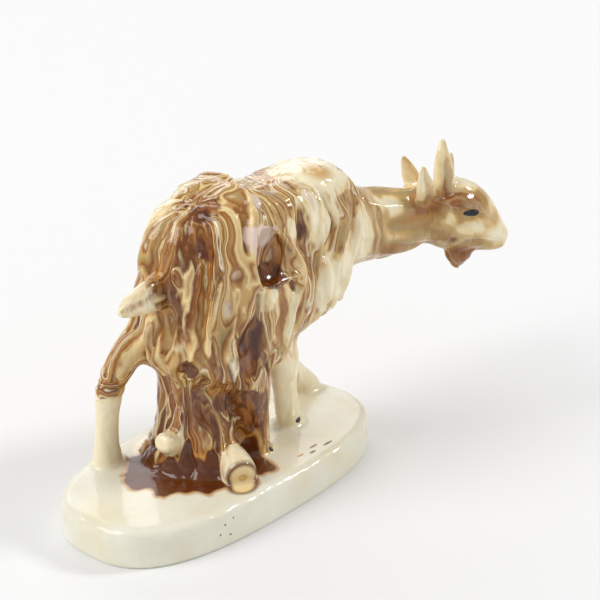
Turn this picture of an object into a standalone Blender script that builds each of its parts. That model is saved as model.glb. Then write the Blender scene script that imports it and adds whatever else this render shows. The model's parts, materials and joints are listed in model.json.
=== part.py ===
"""Glazed ceramic goat on an oval plinth, held up by a lopped tree stump.

Metres, +Z up. The origin is the centre of the plinth's underside, +X is the way the goat walks
and +Y is its left side. Station lists are in millimetres: centre x, y, z, half width, half height.
"""
import math

import bmesh
import bpy
from mathutils import Vector

MM = 0.001

# Driving dimensions
PLINTH_LENGTH = 0.096
PLINTH_WIDTH = 0.0475
PLINTH_HEIGHT = 0.0102
PLINTH_SQUARENESS = 2.74
PLINTH_TOP_ROUND = 0.0022
PLINTH_FOOT_ROUND = 0.0007
VENT_DIAMETER = 0.005
VENT_DEPTH = 0.006
VENT_X = -0.024
JOINT_GAP = 0.0003
PLINTH_OUTLINE_POINTS = 64
TOP_ROUND_SEGMENTS = 4
FOOT_ROUND_SEGMENTS = 2
VENT_SIDES = 24
HOLLOW_SEGMENTS = 20
HOLLOW_RINGS = 12
SAME_HEIGHT = 1e-6
SMOOTH_BELOW = math.radians(50)
COLLECTION_NAME = "ceramic_goat"

# Glaze colours, linear red, green and blue
IVORY = (0.78, 0.70, 0.50)
CREAM_TAN = (0.62, 0.45, 0.26)
TAN = (0.50, 0.31, 0.15)
CARAMEL = (0.36, 0.18, 0.07)
CHOCOLATE = (0.13, 0.045, 0.02)
GLAZE_ROUGHNESS = 0.12


def clear_scene():
    for old in list(bpy.data.objects):
        bpy.data.objects.remove(old, do_unlink=True)


def new_collection(name):
    made = bpy.data.collections.new(name)
    bpy.context.scene.collection.children.link(made)
    return made


def glaze(name, colour):
    """A glossy fired glaze."""
    material = bpy.data.materials.new(name)
    material.use_nodes = True
    shader = material.node_tree.nodes["Principled BSDF"]
    shader.inputs["Base Color"].default_value = (*colour, 1.0)
    shader.inputs["Roughness"].default_value = GLAZE_ROUGHNESS
    shader.inputs["Metallic"].default_value = 0.0
    return material


def superellipse(angle, squareness):
    """Point of a unit superellipse. A squareness of 2 is a circle."""
    power = 2.0 / squareness
    across = math.copysign(abs(math.cos(angle)) ** power, math.cos(angle))
    along = math.copysign(abs(math.sin(angle)) ** power, math.sin(angle))
    return across, along


def add_object(name, mesh, collection, material):
    made = bpy.data.objects.new(name, mesh)
    collection.objects.link(made)
    if material is not None:
        mesh.materials.append(material)
    return made


def baked(made, collection):
    """Applies the object's modifiers and returns the object that holds the result."""
    graph = bpy.context.evaluated_depsgraph_get()
    mesh = bpy.data.meshes.new_from_object(made.evaluated_get(graph))
    name = made.name
    bpy.data.objects.remove(made, do_unlink=True)
    mesh.name = name
    result = bpy.data.objects.new(name, mesh)
    collection.objects.link(result)
    return result


def loft(name, stations, collection, material, sides=10, across=(0, 1, 0), squareness=2.0, levels=1):
    """A closed cage of rings along a path, each square to the path, smoothed by subdivision."""
    centres = [Vector(row[:3]) * MM for row in stations]
    form = bmesh.new()
    rings = []
    for index, row in enumerate(stations):
        before = centres[max(index - 1, 0)]
        after = centres[min(index + 1, len(centres) - 1)]
        along = (after - before).normalized()
        side = Vector(across)
        side = (side - along * side.dot(along)).normalized()
        up = along.cross(side)
        ring = []
        for step in range(sides):
            u, v = superellipse(2 * math.pi * step / sides, squareness)
            offset = side * (u * row[3] * MM) + up * (v * row[4] * MM)
            ring.append(form.verts.new(centres[index] + offset))
        rings.append(ring)
    for first, second in zip(rings, rings[1:]):
        for step in range(sides):
            following = (step + 1) % sides
            form.faces.new((first[step], first[following], second[following], second[step]))
    for ring, place in ((rings[0], centres[0]), (rings[-1], centres[-1])):
        hub = form.verts.new(place)
        for step in range(sides):
            form.faces.new((ring[step], hub, ring[(step + 1) % sides]))
    bmesh.ops.recalc_face_normals(form, faces=form.faces)
    mesh = bpy.data.meshes.new(name)
    form.to_mesh(mesh)
    form.free()
    made = add_object(name, mesh, collection, material)
    smooth = made.modifiers.new("smooth", "SUBSURF")
    smooth.levels = levels
    smooth.render_levels = levels
    return baked(made, collection)


def make_plinth(collection, cutters, material):
    """A low oval slab, its top edge well rounded, with the vent hole of a slip casting beneath."""
    form = bmesh.new()
    bmesh.ops.create_circle(form, cap_ends=True, segments=PLINTH_OUTLINE_POINTS, radius=1.0)
    for index, corner in enumerate(form.verts):
        u, v = superellipse(2 * math.pi * index / PLINTH_OUTLINE_POINTS, PLINTH_SQUARENESS)
        corner.co = Vector((u * PLINTH_LENGTH / 2, v * PLINTH_WIDTH / 2, 0))
    raised = bmesh.ops.extrude_face_region(form, geom=list(form.faces))
    for item in raised["geom"]:
        if isinstance(item, bmesh.types.BMVert):
            item.co.z = PLINTH_HEIGHT
    bmesh.ops.recalc_face_normals(form, faces=form.faces)
    for height, width, segments in (
        (PLINTH_HEIGHT, PLINTH_TOP_ROUND, TOP_ROUND_SEGMENTS),
        (0.0, PLINTH_FOOT_ROUND, FOOT_ROUND_SEGMENTS),
    ):
        rim = [edge for edge in form.edges if all(abs(end.co.z - height) < SAME_HEIGHT for end in edge.verts)]
        bmesh.ops.bevel(form, geom=rim, offset=width, segments=segments, profile=0.5, affect="EDGES")
    mesh = bpy.data.meshes.new("base_plinth")
    form.to_mesh(mesh)
    form.free()
    made = add_object("base_plinth", mesh, collection, material)
    bpy.ops.mesh.primitive_cylinder_add(
        vertices=VENT_SIDES, radius=VENT_DIAMETER / 2, depth=2 * VENT_DEPTH, location=(VENT_X, 0, 0)
    )
    drill = bpy.context.object
    drill.name = "vent_drill"
    for home in list(drill.users_collection):
        home.objects.unlink(drill)
    cutters.objects.link(drill)
    subtract(made, drill)
    return made


def make_hollow(name, centre, radii, cutters):
    """An egg-shaped cutter."""
    form = bmesh.new()
    bmesh.ops.create_uvsphere(form, u_segments=HOLLOW_SEGMENTS, v_segments=HOLLOW_RINGS, radius=1.0)
    for corner in form.verts:
        corner.co = Vector((corner.co[axis] * radii[axis] + centre[axis]) * MM for axis in range(3))
    mesh = bpy.data.meshes.new(name)
    form.to_mesh(mesh)
    form.free()
    return add_object(name, mesh, cutters, None)


def subtract(made, cutter):
    cutter.hide_render = True
    cutter.display_type = "WIRE"
    cut = made.modifiers.new("clear_of_" + cutter.name, "BOOLEAN")
    cut.operation = "DIFFERENCE"
    cut.solver = "EXACT"
    cut.object = cutter


def grown(made, cutters):
    """A copy of a piece, larger by the joint gap, which cuts the pieces luted onto it."""
    graph = bpy.context.evaluated_depsgraph_get()
    mesh = bpy.data.meshes.new_from_object(made.evaluated_get(graph))
    normals = [corner.normal.copy() for corner in mesh.vertices]
    for corner, normal in zip(mesh.vertices, normals):
        corner.co += normal * JOINT_GAP
    copy = bpy.data.objects.new(made.name + "_grown", mesh)
    cutters.objects.link(copy)
    return copy


# Along the back, from the buttocks to the chest
TRUNK = [
    (-18.6, 2.6, 64.5, 6.0, 10.5),
    (-15.8, 3.0, 64.4, 12.0, 18.4),
    (-8.6, 2.8, 60.6, 16.8, 26.6),
    (-1.0, 0.8, 57.5, 16.4, 28.4),
    (9.0, 0.0, 56.9, 15.4, 26.2),
    (19.0, 0.0, 58.4, 14.2, 22.6),
    (29.0, 0.0, 60.2, 13.4, 21.9),
    (38.0, 0.0, 60.4, 12.2, 22.0),
    (44.0, 0.0, 58.6, 9.8, 17.6),
    (48.5, 0.0, 57.5, 6.0, 10.5),
]
# From inside the chest to the back of the skull
NECK = [
    (44.0, -1.0, 61, 9.0, 12.5),
    (53.0, -2.0, 58, 8.8, 12.2),
    (60.0, -4.0, 56.9, 8.2, 10.9),
    (67.0, -6.5, 56.8, 7.6, 9.4),
    (73.0, -9.5, 56.8, 7.0, 9.0),
]
# From the back of the skull to the muzzle
HEAD = [
    (69.5, -8.2, 59.0, 4.6, 6.4),
    (74.0, -10.5, 58.0, 6.8, 9.8),
    (79.5, -13.6, 57.0, 7.4, 11.4),
    (84.0, -16.3, 54.2, 6.5, 10.0),
    (88.2, -18.7, 50.4, 4.8, 6.8),
    (91.4, -20.5, 47.8, 3.9, 4.6),
    (93.4, -21.6, 46.4, 2.9, 3.0),
]
BEARD = [
    (80.5, -15.5, 50.0, 4.4, 5.4),
    (80.3, -16.0, 45.0, 3.6, 5.2),
    (80.0, -16.2, 41.8, 2.2, 3.0),
    (79.8, -16.3, 39.4, 0.8, 1.0),
]
CHEST_TUFT = [
    (43.5, 0.0, 54.0, 5.2, 3.5),
    (45.5, 0.0, 48.0, 4.4, 3.2),
    (44.5, -0.5, 43.5, 3.0, 2.4),
    (43.4, -1.0, 41.0, 1.2, 1.0),
]
TAIL = [
    (-11.0, 2.0, 59.5, 3.6, 5.0),
    (-17.0, 2.0, 60.8, 4.4, 5.4),
    (-23.0, 2.0, 61.6, 4.2, 4.8),
    (-29.0, 1.8, 61.0, 3.2, 3.4),
    (-33.0, 1.6, 60.0, 1.5, 1.6),
]
LEFT_HIND_LEG = [
    (-6.0, 9.5, 54.0, 6.5, 8.5),
    (-13.5, 11.0, 48.0, 5.4, 7.0),
    (-19.8, 12.0, 42.5, 4.6, 6.0),
    (-25.0, 13.0, 37.5, 4.0, 5.4),
    (-26.2, 14.0, 32.0, 3.4, 4.6),
    (-26.0, 15.2, 24.0, 3.0, 3.2),
    (-25.2, 16.3, 16.0, 3.3, 3.6),
    (-24.6, 17.0, 11.0, 3.9, 4.8),
    (-24.4, 17.0, 8.0, 3.9, 4.8),
]
RIGHT_HIND_LEG = [
    (-1.0, -9.0, 42.0, 5.5, 9.0),
    (2.2, -8.5, 33.0, 5.6, 7.4),
    (3.6, -8.0, 25.0, 4.0, 5.6),
    (5.0, -7.5, 17.5, 3.8, 4.6),
    (5.4, -7.2, 11.5, 4.2, 5.0),
    (5.4, -7.2, 8.0, 4.2, 5.0),
]
RIGHT_FORELEG = [
    (15.0, -9.0, 50.0, 5.5, 7.4),
    (15.2, -8.5, 39.5, 4.8, 6.4),
    (17.0, -7.2, 30.0, 3.6, 4.6),
    (19.0, -5.6, 21.5, 3.0, 3.6),
    (21.5, -4.2, 14.5, 3.3, 3.8),
    (23.0, -3.6, 10.5, 3.8, 4.6),
    (23.2, -3.6, 8.0, 3.8, 4.6),
]
LEFT_FORELEG = [
    (28.0, 6.0, 46.0, 5.5, 6.8),
    (27.8, 6.0, 36.5, 4.6, 5.2),
    (29.0, 6.0, 28.0, 3.5, 3.8),
    (33.0, 6.0, 20.0, 3.1, 3.5),
    (38.5, 5.9, 14.2, 3.3, 3.8),
    (41.5, 5.8, 10.5, 3.8, 4.8),
    (42.0, 5.8, 8.0, 3.8, 4.8),
]
SUPPORT_STUMP = [
    (-6.2, 2.4, 45.0, 10.4, 9.8),
    (-6.4, 2.2, 34.0, 11.0, 10.2),
    (-6.4, 2.0, 24.0, 11.4, 10.2),
    (-6.8, 2.4, 16.5, 13.2, 10.8),
    (-8.0, 2.6, 11.5, 15.8, 12.2),
    (-8.0, 2.6, 8.0, 16.4, 12.8),
]
BRANCH_STUB = [
    (-9.0, 2.5, 15.0, 3.0, 3.2),
    (-13.5, 2.0, 17.0, 3.3, 3.5),
    (-17.5, 1.2, 19.0, 3.4, 3.6),
    (-20.6, 0.6, 20.6, 2.7, 2.9),
]
ROOT_LOG = [
    (-4.0, -4.0, 14.0, 4.2, 4.2),
    (-6.5, -10.0, 13.8, 4.5, 4.5),
    (-9.0, -15.2, 13.0, 4.7, 4.6),
    (-10.2, -17.4, 12.6, 4.5, 4.3),
]
# Scooped hollows between the long locks of the right flank: centre, half length, half depth, half height
FLANK_HOLLOWS = [
    (5.0, -17.0, 68.0, 6.6, 4.6, 8.6),
    (-3.0, -18.0, 46.0, 4.0, 4.6, 8.0),
]
# Head furniture: left side of the head lies along (0.49, 0.87)
HEAD_LEFT = (0.49, 0.87, 0.0)
RIGHT_EAR = [
    (69.5, -12.5, 61.0, 1.6, 2.6),
    (67.6, -14.0, 65.5, 1.7, 3.4),
    (65.8, -14.6, 70.0, 1.4, 2.6),
    (64.6, -14.8, 74.8, 0.6, 0.8),
]
LEFT_EAR = [
    (74.0, -6.5, 61.0, 1.6, 2.4),
    (73.0, -5.0, 65.5, 1.6, 3.0),
    (71.6, -4.2, 69.5, 1.4, 2.3),
    (70.2, -3.6, 73.4, 0.6, 0.8),
]
RIGHT_HORN = [
    (76.0, -13.5, 61.0, 2.6, 3.0),
    (75.4, -13.8, 67.0, 2.6, 3.4),
    (75.0, -13.6, 73.5, 2.1, 2.7),
    (76.0, -12.6, 79.0, 0.8, 0.9),
]
LEFT_HORN = [
    (81.0, -10.6, 61.0, 2.1, 2.4),
    (81.8, -10.4, 65.5, 2.0, 2.4),
    (82.8, -10.2, 69.0, 1.6, 1.8),
    (83.6, -10.0, 72.4, 0.6, 0.7),
]


def main():
    clear_scene()
    parts = new_collection(COLLECTION_NAME)
    cutters = new_collection("cutters")
    ivory = glaze("ivory_glaze", IVORY)
    cream_tan = glaze("cream_tan_glaze", CREAM_TAN)
    tan = glaze("tan_glaze", TAN)
    caramel = glaze("caramel_glaze", CARAMEL)
    chocolate = glaze("chocolate_glaze", CHOCOLATE)

    plinth = make_plinth(parts, cutters, ivory)
    trunk = loft("trunk", TRUNK, parts, tan, sides=16, squareness=3.8)
    for number, row in enumerate(FLANK_HOLLOWS):
        subtract(trunk, make_hollow("flank_hollow_" + str(number), row[:3], row[3:], cutters))
    head = loft("head", HEAD, parts, cream_tan, sides=12, across=HEAD_LEFT, squareness=2.2)
    plinth_cutter = grown(plinth, cutters)
    trunk_cutter = grown(trunk, cutters)
    head_cutter = grown(head, cutters)

    neck = loft("neck", NECK, parts, cream_tan, sides=12)
    for cutter in (trunk_cutter, head_cutter):
        subtract(neck, cutter)
    neck_cutter = grown(neck, cutters)

    for name, stations, coat in (
        ("left_hind_leg", LEFT_HIND_LEG, caramel),
        ("right_hind_leg", RIGHT_HIND_LEG, caramel),
        ("right_foreleg", RIGHT_FORELEG, cream_tan),
        ("left_foreleg", LEFT_FORELEG, cream_tan),
    ):
        leg = loft(name, stations, parts, coat)
        for cutter in (trunk_cutter, plinth_cutter):
            subtract(leg, cutter)

    stump = loft("support_stump", SUPPORT_STUMP, parts, chocolate, sides=14)
    for cutter in (trunk_cutter, plinth_cutter):
        subtract(stump, cutter)
    for name in ("left_hind_leg", "right_hind_leg"):
        subtract(stump, grown(bpy.data.objects[name], cutters))
    stump_cutter = grown(stump, cutters)
    for name, stations in (("branch_stub", BRANCH_STUB), ("root_log", ROOT_LOG)):
        limb = loft(name, stations, parts, ivory, across=(0, 0, 1))
        for cutter in (stump_cutter, plinth_cutter):
            subtract(limb, cutter)

    for name, stations in (
        ("right_ear", RIGHT_EAR),
        ("left_ear", LEFT_EAR),
        ("right_horn", RIGHT_HORN),
        ("left_horn", LEFT_HORN),
    ):
        piece = loft(name, stations, parts, ivory, sides=8, across=HEAD_LEFT)
        for cutter in (head_cutter, neck_cutter):
            subtract(piece, cutter)

    beard = loft("beard", BEARD, parts, tan, sides=8, across=HEAD_LEFT)
    subtract(beard, head_cutter)
    tuft = loft("chest_tuft", CHEST_TUFT, parts, cream_tan, sides=8)
    for cutter in (trunk_cutter, neck_cutter):
        subtract(tuft, cutter)
    tail = loft("tail", TAIL, parts, ivory, sides=10)
    subtract(tail, trunk_cutter)

    for made in parts.objects:
        made.data.shade_smooth()
        made.data.set_sharp_from_angle(angle=SMOOTH_BELOW)


main()
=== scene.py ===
"""Looks of the marbled, glazed ceramic goat: one fired skin, its relief and its glaze.

Lengths named _MM, and every place in a list, are millimetres in the CAD's frame.
"""
import itertools
import json
import math

import bmesh
import bpy
import numpy as np
from mathutils import Matrix, Vector
from mathutils.bvhtree import BVHTree


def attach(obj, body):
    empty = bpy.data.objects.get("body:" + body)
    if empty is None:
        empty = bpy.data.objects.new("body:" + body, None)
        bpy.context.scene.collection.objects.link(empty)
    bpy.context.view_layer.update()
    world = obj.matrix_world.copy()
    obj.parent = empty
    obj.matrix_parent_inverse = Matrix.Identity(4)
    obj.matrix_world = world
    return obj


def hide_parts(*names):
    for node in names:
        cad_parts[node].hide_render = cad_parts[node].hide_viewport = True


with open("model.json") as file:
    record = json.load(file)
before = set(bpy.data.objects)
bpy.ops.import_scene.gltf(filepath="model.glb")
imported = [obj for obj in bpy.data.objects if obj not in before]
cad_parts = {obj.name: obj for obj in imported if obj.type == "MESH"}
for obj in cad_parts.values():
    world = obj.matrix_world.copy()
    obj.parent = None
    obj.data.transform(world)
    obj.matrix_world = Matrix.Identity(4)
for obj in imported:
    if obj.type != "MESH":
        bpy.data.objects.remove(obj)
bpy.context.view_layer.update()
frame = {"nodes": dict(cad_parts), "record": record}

MM = 0.001
VOXEL_MM = 0.42
CLOSE_GAP_MM = 0.22

EARS_AND_HORNS = ("right_ear", "left_ear", "right_horn", "left_horn")
LEGS = ("left_hind_leg", "right_hind_leg", "right_foreleg", "left_foreleg")
PALE_NODES = (*EARS_AND_HORNS, "tail", "branch_stub", "root_log")
NODE_SLOTS = {entry["node"]: entry["material_slot"] for entry in frame["record"]["subparts"]}
NODES = sorted(NODE_SLOTS)

NOISE_REPEAT = 256
WARP_SEED = 3
FOLD_SEED = 8
LOCK_SEED = 15
STRAND_SEED = 21
BAND_SEED = 33
WOBBLE_SEED = 40
FLAME_SEED = 51


# ---------------------------------------------------------------- numbers on points
class Noise:
    """Seeded gradient noise in three dimensions, about -0.7 to 0.7."""

    def __init__(self, seed):
        source = np.random.default_rng(seed)
        self.order = np.tile(source.permutation(NOISE_REPEAT), 2)
        directions = source.normal(size=(NOISE_REPEAT, 3))
        self.directions = directions / np.linalg.norm(directions, axis=1)[:, None]

    def __call__(self, points):
        cell = np.floor(points).astype(np.int64)
        inside = points - cell
        fade = inside**3 * (inside * (inside * 6 - 15) + 10)
        total = np.zeros(len(points))
        for corner in itertools.product((0, 1), repeat=3):
            x, y, z = ((cell + corner) % NOISE_REPEAT).T
            row = self.order[(self.order[x] + y) % NOISE_REPEAT]
            pick = self.order[(row + z) % NOISE_REPEAT]
            toward = (self.directions[pick] * (inside - corner)).sum(axis=1)
            share = np.where(np.array(corner) == 1, fade, 1 - fade).prod(axis=1)
            total += toward * share
        return total

    def three(self, points):
        """Three independent values for each point, to push points about."""
        return np.stack([self(points + shift) for shift in (0.0, 31.7, 67.3)], axis=1)


def ramp(values, low, high):
    """0 below low, 1 above high, smooth between."""
    t = np.clip((values - low) / (high - low), 0, 1)
    return t * t * (3 - 2 * t)


def blob(points, centre, radii):
    """1 at the centre, fading to 0 at the radii."""
    away = np.linalg.norm((points - np.array(centre)) / np.array(radii), axis=1)
    return 1 - ramp(away, 0.35, 1.0)


def catmull(points, steps):
    """A smooth line through the given points."""
    points = np.array(points, float)
    padded = np.vstack([2 * points[0] - points[1], points, 2 * points[-1] - points[-2]])
    line = []
    for a, b, c, d in zip(padded, padded[1:], padded[2:], padded[3:]):
        square = 2 * a - 5 * b + 4 * c - d
        cube = 3 * b - a - 3 * c + d
        for t in np.linspace(0, 1, steps, endpoint=False):
            line.append(0.5 * (2 * b + (c - a) * t + square * t**2 + cube * t**3))
    line.append(points[-1])
    return np.array(line)


def line_distance(points, line):
    """Distance to a polyline, and how far along it the nearest place is, 0 to 1."""
    best = np.full(len(points), np.inf)
    along = np.zeros(len(points))
    for index, (a, b) in enumerate(zip(line, line[1:])):
        span = b - a
        t = np.clip(((points - a) @ span) / (span @ span), 0, 1)
        away = np.linalg.norm(points - a - t[:, None] * span, axis=1)
        nearer = away < best
        best = np.where(nearer, away, best)
        along = np.where(nearer, (index + t) / (len(line) - 1), along)
    return best, along


class Skin:
    """A mesh as arrays, in millimetres."""

    def __init__(self, mesh):
        count = len(mesh.vertices)
        flat = np.empty(count * 3)
        mesh.vertices.foreach_get("co", flat)
        self.points = flat.reshape(-1, 3) / MM
        edges = np.empty(len(mesh.edges) * 2, dtype=np.int64)
        mesh.edges.foreach_get("vertices", edges)
        self.ends = edges.reshape(-1, 2)
        self.degree = np.maximum(np.bincount(edges, minlength=count), 1)
        self.mesh = mesh

    def spread(self, values):
        """Mean of each vertex's neighbours."""
        first, second = self.ends.T
        if values.ndim == 1:
            total = np.bincount(first, values[second], len(self.degree))
            return (total + np.bincount(second, values[first], len(self.degree))) / self.degree
        return np.stack([self.spread(column) for column in values.T], axis=1)

    def relaxed(self, values, rounds, share=0.5):
        """Values drawn toward their neighbours' mean by a share, several times over."""
        share = np.asarray(share)
        if values.ndim == 2 and share.ndim == 1:
            share = share[:, None]
        for _ in range(rounds):
            values = values + share * (self.spread(values) - values)
        return values

    def store(self):
        self.mesh.vertices.foreach_set("co", (self.points * MM).ravel())
        self.mesh.update()

    def normals(self):
        self.store()
        flat = np.empty(len(self.points) * 3)
        self.mesh.vertices.foreach_get("normal", flat)
        return flat.reshape(-1, 3)


# ---------------------------------------------------------------- the fused skin
def grown_faces(node, form):
    """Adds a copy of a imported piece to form, swollen just enough to close the joint gaps."""
    mesh = frame["nodes"][node].data.copy()
    first = len(form.verts)
    form.from_mesh(mesh)
    bpy.data.meshes.remove(mesh)
    form.verts.ensure_lookup_table()
    added = form.verts[first:]
    for vertex in added:
        vertex.normal_update()
    for vertex, normal in [(vertex, vertex.normal.copy()) for vertex in added]:
        vertex.co += normal * CLOSE_GAP_MM * MM


def voxel_skin():
    """One closed fine mesh over all the pieces, and the piece that each of its vertices belongs to."""
    form = bmesh.new()
    owners = []
    for number, node in enumerate(NODES):
        before = len(form.faces)
        grown_faces(node, form)
        owners += [number] * (len(form.faces) - before)
    form.faces.ensure_lookup_table()
    tree = BVHTree.FromBMesh(form)
    rough = bpy.data.meshes.new("rough")
    form.to_mesh(rough)
    form.free()
    holder = bpy.data.objects.new("rough", rough)
    bpy.context.scene.collection.objects.link(holder)
    remesh = holder.modifiers.new("remesh", "REMESH")
    remesh.mode = "VOXEL"
    remesh.voxel_size = VOXEL_MM * MM
    fine = bpy.data.meshes.new_from_object(holder.evaluated_get(bpy.context.evaluated_depsgraph_get()))
    bpy.data.objects.remove(holder, do_unlink=True)
    owner = np.array([owners[tree.find_nearest(vertex.co)[2]] for vertex in fine.vertices])
    return fine, owner


fine, owner = voxel_skin()
skin = Skin(fine)


def of_node(*names):
    """1 on the vertices of the named pieces, 0 elsewhere."""
    picked = [NODES.index(name) for name in names]
    return np.isin(owner, picked).astype(float)


is_plinth = of_node("base_plinth")
# Rounds of smoothing: the voxel steps, the joints, the soft places, the root of the neck
STEP_ROUNDS = 4
JOINT_ROUNDS = 45
SOFT_ROUNDS = 150
NECK_ROUNDS = 300

# The joints are smoothed away with slip, except round the thin ears, horns and tail
thin = skin.relaxed(of_node(*EARS_AND_HORNS, "tail"), 6)
skin.points = skin.relaxed(skin.points, STEP_ROUNDS, 0.5 * (1 - 0.8 * thin))
mixed = owner[skin.ends[:, 0]] != owner[skin.ends[:, 1]]
near_joint = np.zeros(len(owner))
near_joint[skin.ends[mixed].ravel()] = 1.0
near_joint = np.clip(skin.relaxed(near_joint, 24) * 6, 0, 1) * (1 - thin)
above_foot = ramp(skin.points[:, 2], 1.5, 3.0)
skin.points = skin.relaxed(skin.points, JOINT_ROUNDS, 0.5 * near_joint * above_foot)
# Neck, chest and haunch flow into each other over several millimetres: strength, centre, radii
SOFT_PLACES = [
    (1.0, (50, -2, 60), (14, 24, 34)),
    (0.7, (70, -9, 57), (9, 14, 16)),
    (1.0, (-14, 8, 46), (12, 12, 12)),
    (0.7, (-6, -2, 33), (22, 22, 6)),
]
softness = sum(strength * blob(skin.points, centre, radii) for strength, centre, radii in SOFT_PLACES)
skin.points = skin.relaxed(skin.points, SOFT_ROUNDS, 0.5 * np.clip(softness, 0, 1) * (1 - thin))
neck_root = np.clip(1.4 * blob(skin.points, (49, -2, 61), (12, 30, 34)), 0, 1)
skin.points = skin.relaxed(skin.points, NECK_ROUNDS, 0.5 * neck_root)

# ---------------------------------------------------------------- relief
place = skin.points.copy()
x, y, z = place.T
outward = skin.relaxed(skin.normals(), 8)
outward /= np.linalg.norm(outward, axis=1)[:, None]
upward = np.clip(outward[:, 2], 0, 1) ** 2

# How shaggy each piece is; the legs grow shaggier toward the body
SHAGGINESS = {
    "trunk": 1.0,
    "chest_tuft": 1.0,
    "support_stump": 0.75,
    "beard": 0.6,
    "tail": 0.4,
    "neck": 0.3,
    "head": 0.1,
}
coat = sum(share * of_node(name) for name, share in SHAGGINESS.items())
coat += of_node(*LEGS) * (0.15 + 0.6 * ramp(z, 30, 42))
coat = skin.relaxed(coat, 40)

warp_noise = Noise(WARP_SEED)
fold_noise = Noise(FOLD_SEED)
lock_noise = Noise(LOCK_SEED)
strand_noise = Noise(STRAND_SEED)
band_noise = Noise(BAND_SEED)
# The three sizes of hair relief: how wide each is and how high it rises
FOLD_MM = 5.4
LOCK_MM = 2.7
STRAND_MM = 1.4
FOLD_RISE_MM = 2.1
LOCK_RISE_MM = 0.6
STRAND_RISE_MM = 0.16
GROOVE_WIDTH = 0.36


def crests(values):
    """Round-topped locks with narrow grooves between them, 0 to 1."""
    inside = np.minimum(np.abs(values) / GROOVE_WIDTH, 1.0)
    return 1 - (1 - inside) ** 2


# Hair parts along the spine and hangs down the body and legs, and it runs along the neck
SPINE_FROM = -3.0
SPINE_TO = 44.0
SPINE_Y = 2.0
# The hair pattern changes quickly round the body and slowly down it
HAIR_ROUND = 14
HAIR_DOWN = 0.17
bent = place + 6.5 * warp_noise.three(place / 15.0) + 1.8 * warp_noise.three(place / 5.5 + 9.0)
nearest = np.clip(bent[:, 0], SPINE_FROM, SPINE_TO)
out_x = bent[:, 0] - nearest
out_y = bent[:, 1] - SPINE_Y
reach = np.sqrt(out_x**2 + out_y**2 + 9.0)
on_body = ramp(z, 26, 40)
down = HAIR_DOWN * bent[:, 2] + 0.08 * reach
hanging = np.column_stack([nearest + HAIR_ROUND * out_x / reach, HAIR_ROUND * out_y / reach, down])
upright = bent * np.array([1.0, 1.0, 0.2])
hanging = hanging * on_body[:, None] + upright * (1 - on_body[:, None])
along_neck = ramp(x, 42, 56)[:, None]
combed = (place + 2.6 * warp_noise.three(place / 12.0)) * np.array([0.2, 1.0, 0.9])
flow = hanging * (1 - along_neck) + combed * along_neck
folds = crests(fold_noise(flow / FOLD_MM))
locks = crests(lock_noise(flow / LOCK_MM))
strands = crests(strand_noise(flow / STRAND_MM))
shaggy = coat * (1 - 0.8 * upward) * (1 - 0.6 * blob(place, (50, -3, 60), (9, 24, 30)))
height = shaggy * (
    FOLD_RISE_MM * (folds - 0.9) + LOCK_RISE_MM * (locks - 0.8) + STRAND_RISE_MM * (strands - 0.5)
)

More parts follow.
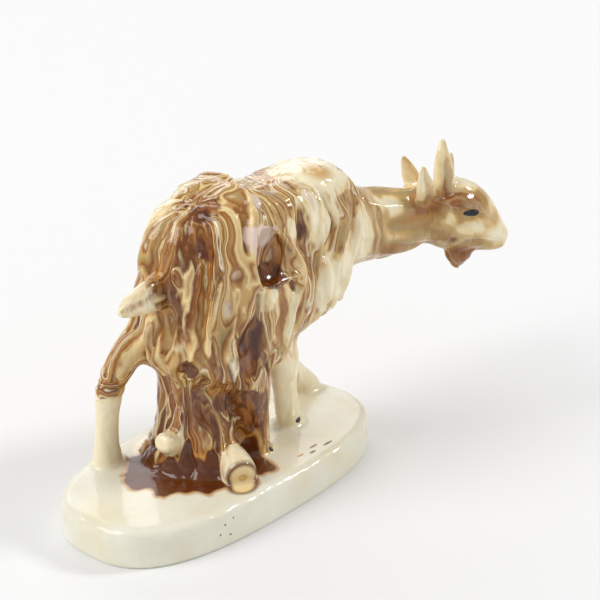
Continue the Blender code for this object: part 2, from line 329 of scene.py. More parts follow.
# Ropes of hair and the rims of the hollows, on the right side: half width, height, line
ROPES = [
    (1.8, 1.6, [(1, 4, 84), (-5, 8, 80), (-12, 9, 75), (-18, 8, 68), (-23, 6, 62)]),
    (1.1, 1.6, [
        (-10, 4, 76), (-13, 2, 73), (-16, -1, 69),
        (-19, -4, 64), (-22, -6, 60), (-24, -7, 54),
    ]),
    (1.0, 1.2, [(0, 7, 83), (-8, -1, 78), (-11, -6, 75), (-14, -8, 69), (-17, -9, 63), (-19, -9, 57)]),
    (1.0, 1.2, [(-1, 3, 83), (-7, -4, 79), (-10, -9, 73), (-12, -11, 68), (-14, -11, 62)]),
    (1.1, 1.2, [(-1, -2, 83), (-8, -8, 78), (-10, -10, 72), (-10, -12, 68)]),
    (1.3, 1.7, [
        (6, 1, 84), (2, -10, 83), (1, -13, 80), (-1, -14, 75), (-2, -15, 67),
        (0, -15, 62), (3, -15, 57), (4, -15, 50), (4, -15, 45),
    ]),
    (1.2, 1.7, [
        (5, -12, 79), (9, -14, 73), (13, -15, 67), (17, -15, 60),
        (15, -15, 55), (12, -15, 51), (11, -14, 46), (11, -13, 40),
    ]),
    (1.2, 1.7, [(16, -14, 60), (11, -15, 60), (5, -15, 60), (0, -15, 61)]),
    (1.3, 1.6, [(4, -15, 47), (3, -15, 41), (0, -14, 36), (-4, -13, 33), (-9, -12, 33), (-14, -9, 34)]),
    (1.1, 1.3, [
        (-11, -12, 65), (-13, -12, 60), (-15, -12, 55),
        (-16, -12, 50), (-15, -12, 45), (-13, -12, 39),
    ]),
    (1.0, 1.2, [(-7, -14, 62), (-8, -14, 55), (-9, -14, 50), (-8, -14, 45), (-6, -13, 39)]),
    (0.9, 0.9, [(-3, -14, 60), (-5, -14, 54), (-7, -14, 49)]),
    (1.1, 1.3, [(-25, -4, 56), (-25, -6, 50), (-25, -5, 44), (-21, -1, 38)]),
    (1.0, 1.3, [(-24, -6, 42), (-22, -9, 46), (-19, -11, 46), (-18, -11, 42)]),
    (1.4, 1.3, [(26, -12, 78), (27, -14, 70), (24, -14, 62), (22, -14, 54), (20, -13, 46)]),
    (1.5, 1.4, [(34, -10, 78), (36, -12, 70), (34, -13, 61), (31, -13, 53), (30, -12, 45)]),
    (1.3, 1.2, [(43, -6, 74), (45, -9, 66), (43, -10, 58), (41, -10, 50), (38, -9, 43)]),
    (0.8, 1.4, [(-1, -16, 50), (-2, -16, 45), (-3, -15, 40)]),
    (2.2, 1.5, [(27, -13, 58), (28, -13, 53), (28, -13, 48)]),
    (1.1, 1.2, [(22, -9, 80), (21, -12, 75), (20, -13, 69), (20, -14, 63)]),
    (1.2, 1.0, [(27, -9, 79), (26, -12, 74), (25, -13, 68)]),
    (2.2, 2.4, [(50, -6, 66), (55, -9, 64), (60, -10, 63), (64, -11, 62)]),
    (1.6, 1.6, [(46, -9, 59), (54, -9, 57), (62, -11, 55), (69, -14, 54)]),
    (1.3, 1.4, [(46, -9, 53), (54, -8, 52), (62, -10, 50), (69, -13, 50)]),
]
# Scooped hollows and pits of the right side: depth, centre, radii
PITS = [
    (3.4, (6.5, -15, 67.0), (6.8, 6.0, 9.5)),
    (3.2, (-1.0, -14, 45.5), (5.2, 5.0, 9.5)),
    (2.2, (-13, -7, 72.5), (2.6, 3.5, 4.5)),
    (1.5, (-9, -14, 58.0), (1.7, 4.0, 3.0)),
    (1.2, (-7, -14, 66.0), (3.0, 4.0, 2.2)),
    (2.4, (-20.5, -9, 42.0), (3.2, 4.0, 3.2)),
    (1.5, (17.5, -14, 71.0), (1.8, 4.0, 6.5)),
    (1.6, (-21, -5, 66.0), (2.4, 4.0, 4.0)),
]
MIRROR = np.array([1.0, -1.0, 1.0])
FAR_SIDE_SHIFT = np.array([4.0, 1.5, -1.0])

features = np.zeros(len(place))
scooped = np.zeros(len(place))
for right_side in (True, False):
    seen = place
    if not right_side:
        seen = (place + 2.0 * warp_noise.three(place / 20.0 + 5.0)) * MIRROR - FAR_SIDE_SHIFT
    own_half = y < 11 if right_side else y > 3
    near = np.flatnonzero(own_half & (seen[:, 1] < 11) & (coat > 0.05))
    seen = seen[near]
    for half_width, rise, line in ROPES:
        away, along = line_distance(seen, catmull(line, 5))
        taper = 0.45 + 0.55 * np.sin(math.pi * np.clip(along, 0.02, 0.98)) ** 0.6
        lift = rise * np.exp(-((away / (half_width * taper)) ** 2))
        features[near] = np.maximum(features[near], lift)
    for depth, centre, radii in PITS:
        scoop = np.exp(-1.6 * (((seen - centre) / radii) ** 2).sum(axis=1))
        features[near] -= depth * scoop
        scooped[near] = np.maximum(scooped[near], scoop)
calm = 1 - 0.7 * np.clip(np.abs(features), 0, 1)
height = height * calm + (features - 0.5) * np.clip(coat * 1.3, 0, 1)

# The head is turned, so its left and right are mirrored about its own middle plane
HEAD_MIDDLE = np.array([84.0, -16.3, 0.0])
HEAD_LEFT = np.array([0.49, 0.87, 0.0])
to_left = (place - HEAD_MIDDLE) @ HEAD_LEFT
right_face = place - 2 * np.clip(to_left, 0, None)[:, None] * HEAD_LEFT
head_only = np.flatnonzero(of_node("head", *EARS_AND_HORNS))
# Brow, sockets, eyes, cheek, mouth and nostrils: half width, height, line on the right of the face
FACE = [
    (1.3, 0.9, [(73, -17, 62), (76, -19, 62.5), (80, -20, 61.5), (83, -20, 60)]),
    (1.5, -1.1, [(75, -19, 60.0), (78, -20, 59.6), (81, -20, 58.4)]),
    (0.9, 1.0, [(76, -20, 59), (78, -20.5, 58.8), (80, -20.5, 58.2)]),
    (1.0, 0.6, [(75, -19, 57.0), (78, -21, 56.4), (82, -21.5, 56.4)]),
    (1.5, 0.7, [(70, -15, 57), (74, -18, 53.5), (80, -21, 52), (86, -22.5, 51)]),
    (0.7, -0.8, [(81, -20.5, 49.5), (85, -22.5, 48.3), (89, -24, 47.4), (93, -24.5, 47.2)]),
    (0.8, -0.7, [(90.5, -23.6, 50.6), (91.6, -23.6, 50.0)]),
    (1.2, -0.8, [(71, -15, 63), (75, -17, 64.5), (79, -16, 67)]),
    (1.7, -1.1, [(68.0, -14.8, 63), (66.8, -15.6, 66), (65.2, -15.9, 71)]),
    (1.5, -1.2, [(74.5, -15.9, 63), (74.1, -16.1, 67), (74.0, -15.4, 73)]),
    (1.0, -0.6, [(75, -18, 52), (74.5, -17, 49)]),
]
for half_width, rise, line in FACE:
    away, _ = line_distance(right_face[head_only], catmull(line, 4))
    height[head_only] += rise * np.exp(-((away / half_width) ** 2))

# Ears, horns and tail are pinched leaves: a hollow face with a line down it
LEAVES = {
    "right_ear": (0.1, -1.0, 0.1),
    "left_ear": (0.1, -1.0, 0.1),
    "right_horn": (0.1, -1.0, 0.0),
    "left_horn": (0.4, -0.9, 0.0),
    "tail": (-0.3, -0.9, 0.3),
}
LEAF_DEPTH_MM = 0.7
LEAF_WIDTH = 0.42
leaf = np.zeros(len(place))
for name, facing in LEAVES.items():
    mine = np.flatnonzero(of_node(name))
    centred = place[mine] - place[mine].mean(axis=0)
    axes = np.linalg.svd(centred, full_matrices=False)[2]
    toward = np.array(facing) / np.linalg.norm(facing)
    sideways = np.cross(axes[0], toward)
    sideways /= np.linalg.norm(sideways)
    across = centred @ sideways + 0.15 * fold_noise(place[mine] / 2.0)
    fold = np.exp(-((across / (LEAF_WIDTH * np.abs(across).max())) ** 2))
    leaf[mine] = fold * ramp(outward[mine] @ toward, 0.0, 0.6)
    height[mine] -= LEAF_DEPTH_MM * leaf[mine]

# A hand-made plinth is never quite true, and its rim is wavy with thick glaze
PLINTH_WOBBLE_MM = 0.25
RIM_WAVE_MM = 0.45
wobble = Noise(WOBBLE_SEED)
off_the_top = 1 - 0.85 * ramp(upward, 0.6, 0.95)
height += is_plinth * PLINTH_WOBBLE_MM * wobble(place / np.array([16.0, 16.0, 30.0])) * ramp(z, 0.5, 2.0)
height += is_plinth * RIM_WAVE_MM * wobble(place / 3.6 + 11.0) * ramp(z, 6.5, 8.5) * off_the_top

height = skin.relaxed(height, 1)
skin.points = place + outward * height[:, None]
skin.points = skin.relaxed(skin.points, 2, 0.5)
skin.points[:, 2] = np.maximum(skin.points[:, 2], 0.0)

# How far each point stands above the general surface: crests above 0, grooves below
LEVEL_ROUNDS = 28
level = skin.relaxed(skin.points, LEVEL_ROUNDS)
relief = ((skin.points - level) * outward).sum(axis=1)
relief = skin.relaxed(relief, 1)

# ---------------------------------------------------------------- where each glaze colour lies
# Slips run down with the hair, so the bands follow the folds
stretched = flow * np.array([1.0, 1.0, 0.7])
band = band_noise(stretched / 8.0) + 0.30 * band_noise(stretched / 2.8 + 17.0)
band += 0.10 * skin.relaxed(height, 2)
# On the head the slips run from the ears down to the muzzle
HEAD_AXIS = np.array([0.71, -0.40, -0.57])
on_head = skin.relaxed(of_node("head", *EARS_AND_HORNS), 12)
swept = right_face + 1.4 * warp_noise.three(right_face / 7.0)
swept = swept - 0.8 * (swept @ HEAD_AXIS)[:, None] * HEAD_AXIS
head_band = (
    -0.10
    + 0.46 * band_noise(swept / 5.5 + 3.0)
    + 0.14 * band_noise(swept / 1.9 + 23.0)
    + 0.06 * height
)
band = band * (1 - on_head) + head_band * on_head
drift = place + 3.0 * warp_noise.three(place / 9.0 + 40.0) + warp_noise.three(place / 3.0 + 60.0)

# Dabs of colour: strength, centre, radii. The pale ones are slip, with painted highlights on the neck and
# chest; the brown ones are slip; the dark ones are painted shade with glaze pooled in it; the lilac ones
# are painted reflections
DABS = {
    "pale": [
        # The dab at (58, -9, 64) on the neck is a painted highlight, and the one at (29, -12, 53) on the
        # chest is pale slip with painted light on it
        (1.0, (34, -4, 81), (17, 22, 10)), (0.7, (27, -13, 71), (9, 7, 11)),
        (0.8, (-6, 12, 76), (16, 9, 13)), (0.9, (37, -10, 50), (11, 8, 14)),
        (0.9, (45, -8, 58), (8, 8, 13)), (0.9, (58, -9, 64), (5, 5, 5)),
        (0.9, (80, -16, 67), (7, 7, 5)), (1.0, (90, -22, 51), (9, 9, 8)),
        (0.5, (12, -6, 84), (10, 8, 4)), (0.6, (56, -2, 72), (12, 8, 4)),
        (1.0, (78.5, -21, 55.4), (7, 6, 2.8)), (1.0, (73.6, -18, 59), (2.6, 5, 4)),
        (0.8, (85, -20, 58), (4, 6, 4)), (1.0, (29, -12, 53), (8, 8, 11)),
        (1.0, (23, -12, 74), (5, 8, 9)), (0.5, (-12, 9, 76), (5, 5, 8)),
        (0.7, (3, -15, 57), (5, 5, 5)), (0.7, (13, -14, 46), (4, 5, 14)),
        (0.6, (-23, -6, 52), (4, 5, 8)), (0.6, (14, -14, 73), (3, 5, 6)),
    ],
    "brown": [
        (1.0, (-10, -5, 73), (8, 8, 9)), (1.0, (-7, -1, 80), (9, 10, 8)),
        (0.9, (-20, -5, 66), (6, 6, 8)), (0.8, (18, -13, 71), (3, 5, 8)),
        (0.6, (-28, 6, 44), (6, 8, 8)), (0.9, (-29, 12, 36), (6, 5, 5)),
        (0.7, (74, -17, 51), (4, 5, 4)), (1.0, (77.5, -19, 62.4), (6.5, 6, 2.6)),
        (0.9, (69, -13, 63), (7, 6, 3.4)), (0.8, (74.5, -15, 66), (2, 5, 4)),
        (0.64, (-15, -4, 66), (17, 16, 26)), (0.75, (-6, -12, 38), (18, 10, 12)),
        (0.5, (70, -13, 52), (14, 12, 9)), (0.45, (60, -8, 52), (12, 10, 5)),
    ],
    # Painted shade, with some glaze pooled in it: the hollows, the creases, the mouth line and the
    # belly's shadow on the stump
    "painted_shade_and_pooled_glaze": [
        (1.0, (6.5, -13, 62.5), (7, 8, 5)), (0.7, (-8, -2, 79.5), (3, 7, 5)),
        (1.0, (-1.2, -13, 46.0), (6.6, 8, 12)), (0.9, (-20.5, -9, 41), (5, 6, 5)),
        (0.9, (-11.5, -6, 71), (4.2, 6, 8)), (0.6, (17.5, -13, 71), (1.8, 6, 6)),
        (0.9, (-3, -9, 30), (10, 8, 5)), (0.8, (3, -9, 24), (6, 8, 12)),
        (0.6, (75, -17, 50.5), (2.6, 5, 3)), (0.7, (-20.5, -5, 66), (4, 6, 6)),
        (0.5, (-14, -11, 47), (2.5, 5, 9)), (0.45, (-14, -5, 29), (6, 8, 14)),
    ],
    # Painted reflections of the bright surroundings, mostly in the glossy hollows
    "painted_reflection": [
        (0.5, (8, -15, 74), (2, 5, 4)), (1.0, (2.6, -13, 73), (7, 8, 7)),
        (0.5, (-7, -14, 66), (3.4, 4, 2.8)), (0.5, (-9, -14, 58), (2, 4, 3)),
        (0.7, (5, -8, 83), (3, 8, 4)), (0.7, (22.5, -12, 76), (2.5, 6, 4)),
    ],
}
# The dabs forward of this place follow the turned face
FACE_FROM_X = 66
tint = {kind: np.zeros(len(place)) for kind in DABS}
tint["pale"] += is_plinth + 0.8 * of_node(*PALE_NODES)
tint["pale"] += of_node("left_hind_leg") * (1 - ramp(z, 30, 35))
tint["pale"] += of_node("right_foreleg", "left_foreleg") * (0.85 - 0.4 * ramp(z, 30, 44))
tint["brown"] += of_node("right_hind_leg") * 0.8 * ramp(z, 10, 16)
tint["brown"] += of_node("support_stump") * (0.75 + 0.15 * (1 - ramp(z, 13, 24)))
# The beard is brownish; the brown in the hollow face of each ear, horn and tail is painted shade
tint["brown"] += 0.4 * of_node("beard") + 0.5 * leaf
drifting_face = right_face + drift - place
for kind, dabs in DABS.items():
    for strength, centre, radii in dabs:
        dabbed = drifting_face if centre[0] > FACE_FROM_X else drift
        tint[kind] = np.maximum(tint[kind], strength * blob(dabbed, centre, radii))
    crisp = skin.relaxed(np.clip(tint[kind], 0, 1.2), 5)
    blended = skin.relaxed(crisp, 16)
    tint[kind] = np.clip(crisp + on_head * (blended - crisp), 0, 1)
# Brown fills the scooped hollows, as pooled glaze and painted shade, except where the painted reflection
# lies
tint["brown"] = np.maximum(tint["brown"], scooped * (1 - tint["painted_reflection"]))
# On the head, the neck and the beard the slips blend softly
soft = np.clip(skin.relaxed(0.75 * on_head + of_node("neck", "beard"), 8), 0, 1) * ramp(x, 44, 58)

# Brown glaze that ran down the stump and pooled on the plinth
POOL_EDGE = [
    (-20, 14), (-26, 9), (-29, 1), (-27, -6), (-23, -11), (-16, -16),
    (-6, -19), (1, -17), (5, -11), (6, -3), (0, 6), (-8, 12),
]
STUMP_X = -8
STUMP_Y = 2


def inside_outline(points, outline):
    """Distance to a closed outline seen from above, positive inside it."""
    ring = np.array(outline + outline[:1], float)
    flat = np.column_stack([points[:, :2], np.zeros(len(points))])
    away, _ = line_distance(flat, catmull(np.column_stack([ring, np.zeros(len(ring))]), 4))
    crossings = np.zeros(len(points), dtype=int)
    for (ax, ay), (bx, by) in zip(ring, ring[1:]):
        spans = (ay > points[:, 1]) != (by > points[:, 1])
        reach = ax + (points[:, 1] - ay) / (by - ay + 1e-9) * (bx - ax)
        crossings += spans & (points[:, 0] < reach)
    return np.where(crossings % 2 == 1, away, -away)


turn = np.arctan2(y - STUMP_Y, x - STUMP_X)
radius = np.hypot(x - STUMP_X, y - STUMP_Y)
rays = np.column_stack([14 * np.cos(turn) / 3.0, 14 * np.sin(turn) / 3.0, radius / 16 + z / 14])
flame = 1.4 * Noise(FLAME_SEED)(rays + 0.5 * warp_noise.three(place / 8.0 + 80.0))
ragged = place + 1.6 * warp_noise.three(place / 5.0 + 80.0)
pool = 0.55 + inside_outline(ragged, POOL_EDGE) / 5.0 + 0.9 * flame
pool = np.clip(pool, 0, 1) - ramp(z + 9 * flame, 13, 19)
kept_clear = of_node("left_hind_leg", "right_foreleg", "root_log", "branch_stub")
pool = np.clip(pool, 0, 1) * (1 - 0.85 * kept_clear)
pool = skin.relaxed(pool, 2)

# The eye is an almond along the head
HEAD_FORWARD = np.array([0.87, -0.49, 0.0])
EYE = np.array([79.0, -20.9, 58.7])
from_eye = right_face - EYE
eye_ahead = from_eye @ HEAD_FORWARD
eye = np.hypot(eye_ahead / 2.7, (from_eye[:, 2] + 0.10 * eye_ahead) / (0.85 + 0.08 * eye_ahead).clip(0.5))
eye = np.where(np.abs(from_eye @ HEAD_LEFT) < 5, np.minimum(eye, 3.0), 3.0)

# ---------------------------------------------------------------- split into the named pieces
mesh = skin.mesh
shade = skin.normals()
values = {
    "relief": relief,
    "band": band,
    "pool": pool,
    "flame": flame,
    "eye": eye,
    "coat": np.clip(coat, 0, 1),
    "soft": soft,
    **tint,
}
faces = np.empty(len(mesh.polygons) * 4, dtype=np.int64)
mesh.polygons.foreach_get("vertices", faces)
faces = faces.reshape(-1, 4)
face_owner = np.sort(owner[faces], axis=1)[:, 1]
skin_tree = BVHTree.FromPolygons(skin.points.tolist(), faces.tolist())
CAP_INSET_MM = 0.8
CAP_DEPTH_MM = 3.0
INSIDE_PLINTH_MM = 5.0
SPOKES = 24
SPOKE_PLACES = (0.25, 0.5, 0.75)


def is_inside(point):
    """Whether a point lies under the skin."""
    nearest, normal, _, _ = skin_tree.find_nearest(Vector(point))
    return (nearest - Vector(point)).dot(normal) > 0


def cap_hub(ring, piece_middle, inward):
    """The middle for a cap: the trial place whose spokes to the ring stay inside the figure the most."""
    middle = ring.mean(axis=0)
    below = np.array([middle[0], middle[1], INSIDE_PLINTH_MM])
    deeper = inward * CAP_DEPTH_MM
    trials = [middle, piece_middle, middle + deeper, middle + 2 * deeper, below]
    probes = ring[:: max(1, len(ring) // SPOKES)]

    def hidden(trial):
        spokes = itertools.product(probes, SPOKE_PLACES)
        return sum(is_inside(trial + share * (probe - trial)) for probe, share in spokes)

    return max(trials, key=hidden)


def rim_loops(corners):
    """The open edges of some faces as closed walks, each against the faces' own direction."""
    steps = np.stack([corners, np.roll(corners, -1, axis=1)], axis=2).reshape(-1, 2)
    forward = set(map(tuple, steps.tolist()))
    onward = {}
    for start, end in sorted(forward):
        if (end, start) not in forward:
            onward.setdefault(end, []).append(start)
    while onward:
        loop = [next(iter(onward))]
        while loop[-1] in onward:
            step = onward[loop[-1]].pop()
            if not onward[loop[-1]]:
                del onward[loop[-1]]
            if step == loop[0]:
                break
            loop.append(step)
        yield loop


def piece_mesh(name, chosen):
    """The chosen faces as a closed mesh: each open rim is shut by a hidden cap inside the figure."""
    used, corners = np.unique(chosen, return_inverse=True)
    corners = corners.reshape(-1, 4)
    places = skin.points[used]
    normals = shade[used]
    added = []
    caps = []
    for loop in rim_loops(corners):
        inward = -normals[loop]
        ring = places[loop] + CAP_INSET_MM * inward
        lean = inward.mean(axis=0)
        hub = cap_hub(ring, places.mean(axis=0), lean / max(np.linalg.norm(lean), 0.1))
        first = len(places) + sum(len(block) for block in added)
        added += [ring, hub[None, :]]
        count = len(loop)
        for index in range(count):
            after = (index + 1) % count
            caps.append((loop[index], loop[after], first + after, first + index))
            caps.append((first + index, first + after, first + count))
    extra = np.concatenate(added) if added else np.zeros((0, 3))
    made = bpy.data.meshes.new(name)
    made.from_pydata((np.concatenate([places, extra]) * MM).tolist(), [], corners.tolist() + caps)
    made.shade_smooth()
    padding = np.zeros(len(extra))
    for key, data in values.items():
        layer = made.attributes.new(key, "FLOAT", "POINT")
        layer.data.foreach_set("value", np.concatenate([data[used], padding]))
    upright = np.tile([0.0, 0.0, 1.0], (len(extra), 1))
    made.normals_split_custom_set_from_vertices(np.concatenate([normals, upright]).tolist())
    return made


# ---------------------------------------------------------------- glaze
IVORY = (0.92, 0.82, 0.57)
CREAM = (0.82, 0.63, 0.32)
SAND = (0.62, 0.38, 0.13)
OLIVE = (0.42, 0.30, 0.12)
TAN = (0.44, 0.215, 0.055)
CARAMEL = (0.28, 0.095, 0.017)
UMBER = (0.14, 0.036, 0.004)
OXBLOOD = (0.085, 0.016, 0.002)
# Colour of the painted reflection in the hollows
PAINTED_REFLECTION_LILAC = (0.80, 0.63, 0.53)
COOL_BONE = (0.88, 0.86, 0.74)
BONE = (0.82, 0.79, 0.65)
WARM_BONE = (0.79, 0.72, 0.51)
ORANGE = (0.58, 0.27, 0.055)
EYE_BLACK = (0.012, 0.014, 0.018)
GRIT = (0.22, 0.17, 0.11)
# Scales of the glaze's fine wisps, its broad patches and the plinth's tone, per millimetre
WISP_SCALE = 0.55
PATCH_SCALE = 0.09
TONE_SCALE = 0.06


class Tree:
    """Adds nodes to a material with their inputs set or linked by name."""

    def __init__(self, material):
        material.use_nodes = True
        self.tree = material.node_tree
        self.shader = self.tree.nodes["Principled BSDF"]

    def add(self, kind, settings=None, **inputs):
        node = self.tree.nodes.new(kind)
        for key, value in (settings or {}).items():
            setattr(node, key, value)
        for key, value in inputs.items():
            numbered = key[0] == "i" and key[1:].isdigit()
            self.feed(node.inputs[int(key[1:]) if numbered else key], value)
        return node

    def feed(self, socket, value):
        if isinstance(value, bpy.types.NodeSocket):
            self.tree.links.new(value, socket)
        else:
            socket.default_value = value

    def math(self, operation, a, b=0.0):
        return self.add("ShaderNodeMath", {"operation": operation}, i0=a, i1=b).outputs[0]

    def vector(self, operation, a, b):
        return self.add("ShaderNodeVectorMath", {"operation": operation}, i0=a, i1=b).outputs[0]

    def more(self, value, factor, onto):
        """onto plus factor times value."""
        node = self.add("ShaderNodeMath", {"operation": "MULTIPLY_ADD"}, i0=value, i1=factor, i2=onto)
        return node.outputs[0]

    def attribute(self, name):
        return self.add("ShaderNodeAttribute", {"attribute_name": name}).outputs["Fac"]

    def ramp(self, value, stops):
        """A colour for each value, from (position, colour) stops."""
        node = self.add("ShaderNodeValToRGB", i0=value)
        elements = node.color_ramp.elements
        elements[0].position = stops[0][0]
        elements[-1].position = stops[-1][0]
        for position, _ in stops[1:-1]:
            elements.new(position)
        for element, (_, colour) in zip(elements, stops):
            element.color = (*colour, 1.0)
        return node.outputs["Color"]

    def level(self, value, low, high):
        """0 at low, 1 at high, smooth between; low may be the greater."""
        settings = {"interpolation_type": "SMOOTHSTEP"}
        return self.add("ShaderNodeMapRange", settings, i0=value, i1=low, i2=high).outputs[0]

    def mix(self, share, first, second):
        node = self.add("ShaderNodeMix", {"data_type": "RGBA"})
        for index, value in ((0, share), (6, first), (7, second)):
            if not isinstance(value, bpy.types.NodeSocket) and index:
                value = (*value, 1.0)
            self.feed(node.inputs[index], value)
        return node.outputs[2]

    def noise(self, vector, scale, detail, roughness=0.5, distortion=0.0):
        inputs = {"Scale": scale, "Detail": detail, "Roughness": roughness, "Distortion": distortion}
        return self.add("ShaderNodeTexNoise", Vector=vector, **inputs).outputs["Fac"]


def banded(colours):
    """Colour stops for a ramp from (colour, width) pairs, each with a soft edge."""
    total = sum(width for _, width in colours)
    stops = []
    reached = 0.0
    for colour, width in colours:
        stops.append(((reached + width / 2) / total, colour))
        reached += width
    return stops


RICH_BANDS = [
    (CREAM, 2.0), (SAND, 1.4), (CARAMEL, 0.8), (SAND, 1.4), (OLIVE, 1.6), (CARAMEL, 0.7),
    (TAN, 1.6), (SAND, 1.2), (CREAM, 1.4), (CARAMEL, 0.6), (IVORY, 1.2), (SAND, 1.2),
    (UMBER, 0.5), (TAN, 2.0), (OLIVE, 1.4), (CARAMEL, 0.8), (CREAM, 1.6), (TAN, 1.0),
    (CARAMEL, 1.4), (SAND, 1.4), (IVORY, 1.2), (CARAMEL, 0.6), (SAND, 1.2), (OLIVE, 1.2),
    (TAN, 1.2), (CARAMEL, 1.2), (SAND, 1.0),
]
LIGHT_BANDS = [
    (IVORY, 3), (CREAM, 2.4), (SAND, 1.2), (CREAM, 1.5), (IVORY, 3), (CARAMEL, 0.4), (CREAM, 2),
    (OLIVE, 0.8), (CREAM, 1.2), (IVORY, 2.5), (SAND, 1.0), (CREAM, 2),
]
DARK_BANDS = [
    (CARAMEL, 1.8), (UMBER, 1.2), (CREAM, 0.6), (CARAMEL, 1.4), (TAN, 1.2), (UMBER, 1.4),
    (IVORY, 0.5), (CARAMEL, 1.6), (OXBLOOD, 1.0), (CARAMEL, 1.4), (SAND, 0.7), (UMBER, 1.2),
    (CREAM, 0.5), (CARAMEL, 1.4), (ORANGE, 0.7), (UMBER, 1.4), (TAN, 0.8),
]
# Stops of the soft ramp on the head and neck, and of the streaks in the brown pool
BLENDED_SLIPS = [
    (0.04, CARAMEL), (0.20, TAN), (0.36, OLIVE), (0.52, SAND), (0.68, CREAM), (0.88, IVORY),
]
POOL_SLIPS = [
    (0.0, UMBER), (0.18, OXBLOOD), (0.36, UMBER), (0.46, CARAMEL), (0.53, ORANGE), (0.58, CREAM),
    (0.66, CREAM), (0.71, ORANGE), (0.76, CARAMEL), (0.83, UMBER), (0.90, OXBLOOD), (1.0, UMBER),
]
# Specks of grit, splashes of slip, dark spots and the sawn end of the root: centre, radii, colour
SPECKS = [
    ((-22.5, -22.6, 6.6), (0.35, 1.6, 0.35), GRIT), ((-24.0, -22.4, 4.2), (0.3, 1.6, 0.4), GRIT),
    ((-20.8, -22.8, 3.2), (0.4, 1.6, 0.3), GRIT), ((-19.9, -22.8, 7.6), (0.3, 1.6, 0.28), GRIT),
    ((17.0, -17.5, 10.2), (1.8, 0.5, 1.0), CARAMEL), ((14.5, -19.4, 10.2), (1.3, 0.5, 1.0), UMBER),
    ((20.8, -19.2, 10.2), (2.0, 0.5, 1.0), UMBER), ((11.0, -18.2, 10.2), (1.3, 0.5, 1.0), ORANGE),
    ((7.6, -11.2, 11.4), (1.0, 0.8, 0.9), EYE_BLACK),
    ((22.6, -7.2, 12.4), (1.1, 0.8, 0.9), EYE_BLACK), ((45.0, 2.4, 12.4), (1.1, 0.8, 0.9), EYE_BLACK),
    ((-10.6, -17.8, 12.6), (5.2, 4.4, 5.0), UMBER), ((-10.8, -18.2, 12.7), (4.0, 3.2, 3.8), CREAM),
    ((-11.0, -18.8, 12.7), (2.0, 2.0, 1.6), SAND), ((-11.0, -19.2, 12.7), (1.2, 2.0, 0.9), CREAM),
]
# Sandy stains on the back, the withers and the neck: centre, radii
STAINS = [((32, -6, 82), (6, 7, 6)), ((45, -4, 74), (3, 4, 3)), ((55, -9, 62), (2, 4, 4))]


def spot(tree, place, centre, radii, low=0.75, high=1.1):
    """1 inside an ellipsoid given in millimetres, 0 outside."""
    scaled = tree.vector("DIVIDE", tree.vector("SUBTRACT", place, centre), radii)
    length = tree.add("ShaderNodeVectorMath", {"operation": "LENGTH"}, i0=scaled).outputs["Value"]
    return tree.math("SUBTRACT", 1.0, tree.level(length, low, high))


def streaks(tree, field, turns, bands):
    """Bands of slip that come round again as the field rises."""
    return tree.ramp(tree.math("FRACT", tree.math("MULTIPLY", field, turns)), banded(bands))


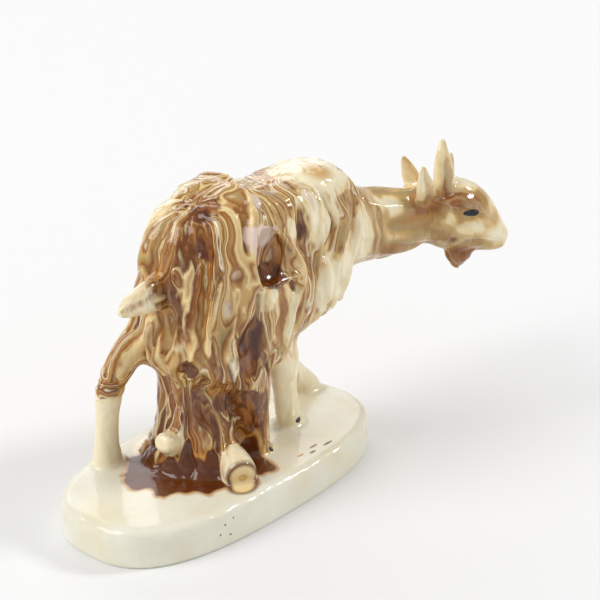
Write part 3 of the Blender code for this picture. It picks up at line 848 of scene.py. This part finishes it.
def marbled_glaze(name):
    """Streaked slips under a clear glaze, with painted shade in the grooves and hollows and painted
    reflections in the hollows: the streaks run down the coat and follow its relief.
    """
    material = bpy.data.materials.new(name)
    tree = Tree(material)
    coords = tree.add("ShaderNodeTexCoord").outputs["Object"]
    place = tree.add("ShaderNodeVectorMath", {"operation": "SCALE"}, i0=coords, Scale=1 / MM).outputs[0]
    masks = [tree.attribute(key) for key in values]
    relief, band, pool, flame, eye, coat, soft, pale, brown, painted_shade_and_pooled_glaze, painted_reflection = masks

    wisp = tree.noise(tree.vector("MULTIPLY", place, (1.0, 1.0, 0.3)), WISP_SCALE, 3.0, 0.55, 0.4)
    patch = tree.noise(place, PATCH_SCALE, 3.0, 0.55)
    wound = tree.more(wisp, 0.10, band)
    rich = streaks(tree, wound, 1.0, RICH_BANDS)
    light = streaks(tree, wound, 0.8, LIGHT_BANDS)
    deep = streaks(tree, wound, 1.1, DARK_BANDS)
    body = tree.mix(tree.level(tree.more(patch, 1.2, pale), 0.75, 1.05), rich, light)
    body = tree.mix(tree.level(tree.more(wisp, 0.5, pale), 0.80, 1.20), body, IVORY)
    # Crests are rubbed pale; the brown in the grooves is pooled glaze and painted shade
    crest = tree.level(relief, 0.2, 0.8)
    groove = tree.level(relief, -0.1, -0.7)
    body = tree.mix(tree.math("MULTIPLY", crest, 0.6), body, CREAM)
    body = tree.mix(tree.math("MULTIPLY", groove, tree.level(pale, 0.9, 0.2)), body, deep)
    body = tree.mix(tree.level(tree.more(wisp, 0.6, brown), 0.62, 0.95), body, deep)
    # Softly blended slips: brown where the brown dabs lie, pale where the pale ones do
    paleness = tree.more(brown, -0.42, tree.more(pale, 0.40, tree.more(wisp, 0.3, band)))
    tender = tree.ramp(tree.level(paleness, -0.45, 0.75), BLENDED_SLIPS)
    body = tree.mix(tree.math("MULTIPLY", soft, 0.94), body, tender)
    # Painted shade and pooled glaze: oxblood to caramel where the dark dabs lie
    shadowed = tree.ramp(wisp, [(0.38, OXBLOOD), (0.52, UMBER), (0.64, CARAMEL)])
    body = tree.mix(tree.level(tree.more(wisp, 0.6, painted_shade_and_pooled_glaze), 0.55, 0.85), body, shadowed)
    # Painted reflection: lilac where the reflection dabs lie
    body = tree.mix(tree.level(tree.more(wisp, 0.7, painted_reflection), 0.65, 1.0), body, PAINTED_REFLECTION_LILAC)
    for centre, radii in STAINS:
        body = tree.mix(spot(tree, place, centre, radii, 0.3, 1.0), body, SAND)
    # The plinth is bone white; brown glaze pools round the stump with orange edges
    tone = tree.noise(place, TONE_SCALE, 3.0)
    bone = tree.ramp(tone, [(0.3, COOL_BONE), (0.5, BONE), (0.72, WARM_BONE)])
    hairless = tree.level(tree.math("ADD", soft, coat), 0.12, 0.02)
    smooth_pale = tree.math("MULTIPLY", tree.level(pale, 0.9, 1.0), hairless)
    body = tree.mix(smooth_pale, body, bone)
    streak = tree.math("FRACT", tree.more(wisp, 0.12, tree.math("MULTIPLY", flame, 2.3)))
    body = tree.mix(tree.math("MULTIPLY", tree.level(pool, 0.22, 0.50), 0.75), body, ORANGE)
    body = tree.mix(tree.level(pool, 0.48, 0.72), body, tree.ramp(streak, POOL_SLIPS))
    for centre, radii, colour in SPECKS:
        body = tree.mix(spot(tree, place, centre, radii), body, colour)
    body = tree.mix(tree.level(eye, 1.12, 0.95), body, EYE_BLACK)

    bump = tree.add("ShaderNodeBump", Strength=0.25, Distance=0.0004, Height=wisp)
    tree.feed(tree.shader.inputs["Base Color"], body)
    tree.feed(tree.shader.inputs["Normal"], bump.outputs["Normal"])
    roughness = tree.add("ShaderNodeMapRange", i0=patch, i3=0.08, i4=0.2).outputs[0]
    tree.feed(tree.shader.inputs["Roughness"], tree.more(smooth_pale, 0.15, roughness))
    tree.shader.inputs["Specular IOR Level"].default_value = 0.3
    tree.shader.inputs["Coat Weight"].default_value = 0.55
    tree.shader.inputs["Coat Roughness"].default_value = 0.06
    return material


glaze = marbled_glaze("marbled_glaze")
collection = bpy.data.collections.new("goat_skin")
bpy.context.scene.collection.children.link(collection)
for number, node in enumerate(NODES):
    chosen = faces[face_owner == number]
    piece = bpy.data.objects.new("glazed_" + node, piece_mesh("glazed_" + node, chosen))
    collection.objects.link(piece)
    piece.data.materials.append(glaze)
    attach(piece, "root")
    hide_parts(node)


# ---------------------------------------------------------------- floor, light and camera
FLOOR_HALF_SIDE = 6.0
FLOOR_GREY = 0.855
WORLD_STRENGTH = 0.50
SOFTBOX_DISTANCE = 3.0


def paper(name, grey, roughness):
    """Matt paper with a very faint change of tone."""
    material = bpy.data.materials.new(name)
    tree = Tree(material)
    tone = tree.noise(tree.add("ShaderNodeTexCoord").outputs["Object"], 0.8, 1.0)
    colour = tree.ramp(tone, [(0.3, (grey, grey, grey)), (0.7, (0.985 * grey,) * 3)])
    tree.feed(tree.shader.inputs["Base Color"], colour)
    tree.shader.inputs["Roughness"].default_value = roughness
    return material


floor_mesh = bpy.data.meshes.new("floor")
corners = [(-1, -1, 0), (1, -1, 0), (1, 1, 0), (-1, 1, 0)]
floor_mesh.from_pydata([Vector(corner) * FLOOR_HALF_SIDE for corner in corners], [], [(0, 1, 2, 3)])
floor = bpy.data.objects.new("floor", floor_mesh)
bpy.context.scene.collection.objects.link(floor)
floor_mesh.materials.append(paper("pale_paper", FLOOR_GREY, 0.9))

world = bpy.data.worlds.new("studio")
bpy.context.scene.world = world
world.use_nodes = True
world.node_tree.nodes["Background"].inputs["Color"].default_value = (1.0, 1.0, 1.0, 1.0)
world.node_tree.nodes["Background"].inputs["Strength"].default_value = WORLD_STRENGTH

AIM = Vector((0.01, -0.002, 0.045))


def softbox(name, toward, size, watts):
    """A rectangular lamp that faces the goat from the given direction."""
    lamp = bpy.data.lights.new(name, "AREA")
    lamp.shape = "RECTANGLE"
    lamp.size, lamp.size_y = size
    lamp.energy = watts
    holder = bpy.data.objects.new(name, lamp)
    bpy.context.scene.collection.objects.link(holder)
    back = Vector(toward).normalized()
    holder.location = AIM + back * SOFTBOX_DISTANCE
    holder.rotation_mode = "QUATERNION"
    holder.rotation_quaternion = back.to_track_quat("Z", "Y")


softbox("window_right", (0.62, -0.43, 0.61), (0.55, 0.75), 30.0)
softbox("window_left", (-0.75, 0.35, 0.75), (2.0, 2.0), 52.0)
softbox("window_behind", (0.5, 0.75, 0.45), (2.5, 1.5), 18.0)

CAMERA_PLACE_MM = (-313.8, -303.6, 254.0)
CAMERA_YAW = math.radians(-48.68)
CAMERA_PITCH = math.radians(24.7)
FIELD_OF_VIEW = math.radians(18.0)
lens = bpy.data.cameras.new("camera")
lens.sensor_width = 36.0
lens.lens = lens.sensor_width / 2 / math.tan(FIELD_OF_VIEW / 2)
camera = bpy.data.objects.new("camera", lens)
bpy.context.scene.collection.objects.link(camera)
camera.matrix_world = (
    Matrix.Translation(Vector(CAMERA_PLACE_MM) * MM)
    @ Matrix.Rotation(CAMERA_YAW, 4, "Z")
    @ Matrix.Rotation(math.pi / 2 - CAMERA_PITCH, 4, "X")
)
bpy.context.scene.camera = camera
bpy.context.scene.view_settings.view_transform = "Standard"
